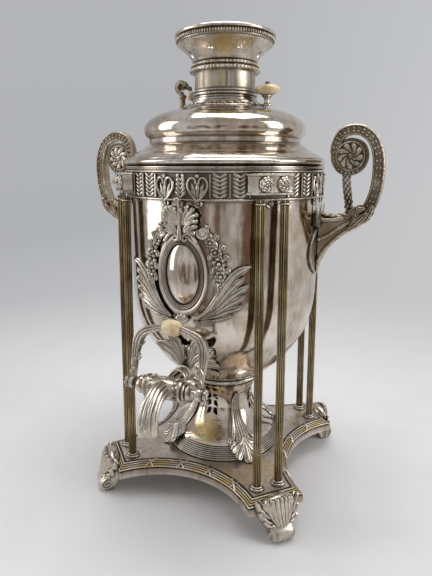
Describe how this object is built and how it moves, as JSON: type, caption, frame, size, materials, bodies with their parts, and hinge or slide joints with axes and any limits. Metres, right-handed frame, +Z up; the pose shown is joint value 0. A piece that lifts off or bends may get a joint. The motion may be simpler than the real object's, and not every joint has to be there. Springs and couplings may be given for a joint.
{
  "type": "samovar",
  "caption": "Silver-plated urn samovar on a pierced pedestal, held by paired columns on a scroll-footed base, with a stirrup tap, scroll handles, lift-off lid and teapot stand.",
  "frame": {"origin": "centre of the whole object's bounding box on the floor, under the feet", "axes": "+Z up, -Y toward the tap's spout, +X to the right seen from the tap's side"},
  "size_m": [0.348, 0.3193, 0.511],
  "materials": {
    "sheet_silver_plate": "silver-plated sheet brass, polished and worn",
    "cast_silver_plate": "silver-plated cast brass, dark in its hollows",
    "worn_silver_plate": "silver plate worn through to brass",
    "column_brass": "toned drawn brass, dark in its flutes",
    "dark_brass": "darkened brass",
    "tinned_brass": "tinned sheet",
    "grate_iron": "raw casting",
    "ivory": "turned ivory, satin"
  },
  "bodies": {
    "urn": {"base_plate": "worn_silver_plate", "foot_ring": "cast_silver_plate", "pedestal": "sheet_silver_plate", "collar_ring": "cast_silver_plate", "urn_body": "sheet_silver_plate", "fire_tube": "tinned_brass", "fire_grate": "grate_iron", "frieze_band": "cast_silver_plate", "foot_back_right": "cast_silver_plate", "corner_block_back_right": "cast_silver_plate", "pedestal_leg_back_right": "cast_silver_plate", "column_back_right_a": "column_brass", "column_back_right_b": "column_brass", "foot_back_left": "cast_silver_plate", "corner_block_back_left": "cast_silver_plate", "pedestal_leg_back_left": "cast_silver_plate", "column_back_left_a": "column_brass", "column_back_left_b": "column_brass", "foot_front_left": "cast_silver_plate", "corner_block_front_left": "cast_silver_plate", "pedestal_leg_front_left": "cast_silver_plate", "column_front_left_a": "column_brass", "column_front_left_b": "column_brass", "foot_front_right": "cast_silver_plate", "corner_block_front_right": "cast_silver_plate", "pedestal_leg_front_right": "cast_silver_plate", "column_front_right_a": "column_brass", "column_front_right_b": "column_brass", "cartouche_boss": "sheet_silver_plate", "cartouche_frame": "cast_silver_plate", "cartouche_garland": "cast_silver_plate", "palm_left": "cast_silver_plate", "palm_right": "cast_silver_plate", "tap_escutcheon": "cast_silver_plate", "tap_body": "sheet_silver_plate", "tap_nut": "dark_brass", "handle_plate_right": "cast_silver_plate", "handle_right": "cast_silver_plate", "handle_plate_left": "cast_silver_plate", "handle_left": "cast_silver_plate"},
    "lid": {"lid": "sheet_silver_plate", "knob_stem": "cast_silver_plate", "knob_grip": "ivory", "knob_nut": "dark_brass", "vent_post": "dark_brass"},
    "teapot_stand": {"teapot_stand": "cast_silver_plate"},
    "vent_key": {"vent_scroll": "dark_brass", "vent_bead": "ivory"},
    "tap_key": {"tap_plug": "sheet_silver_plate", "plug_collar": "cast_silver_plate", "plug_cap_left": "cast_silver_plate", "plug_cap_right": "cast_silver_plate", "tap_stirrup": "cast_silver_plate", "tap_grip": "ivory"}
  },
  "joints": [
    {"name": "lid_lift", "type": "slide", "parent": "urn", "child": "lid", "axis": [0, 0, 1], "range_m": [0, 0.12]},
    {"name": "stand_lift", "type": "slide", "parent": "lid", "child": "teapot_stand", "axis": [0, 0, 1], "range_m": [0, 0.05]},
    {"name": "vent_turn", "type": "hinge", "parent": "lid", "child": "vent_key", "pos_m": [-0.052, 0.03602, 0.455], "axis": [0, 0, 1], "range_deg": [-90, 90]},
    {"name": "tap_turn", "type": "hinge", "parent": "urn", "child": "tap_key", "pos_m": [0, -0.11368, 0.1686], "axis": [1, 0, 0], "range_deg": [0, 90]}
  ]
}
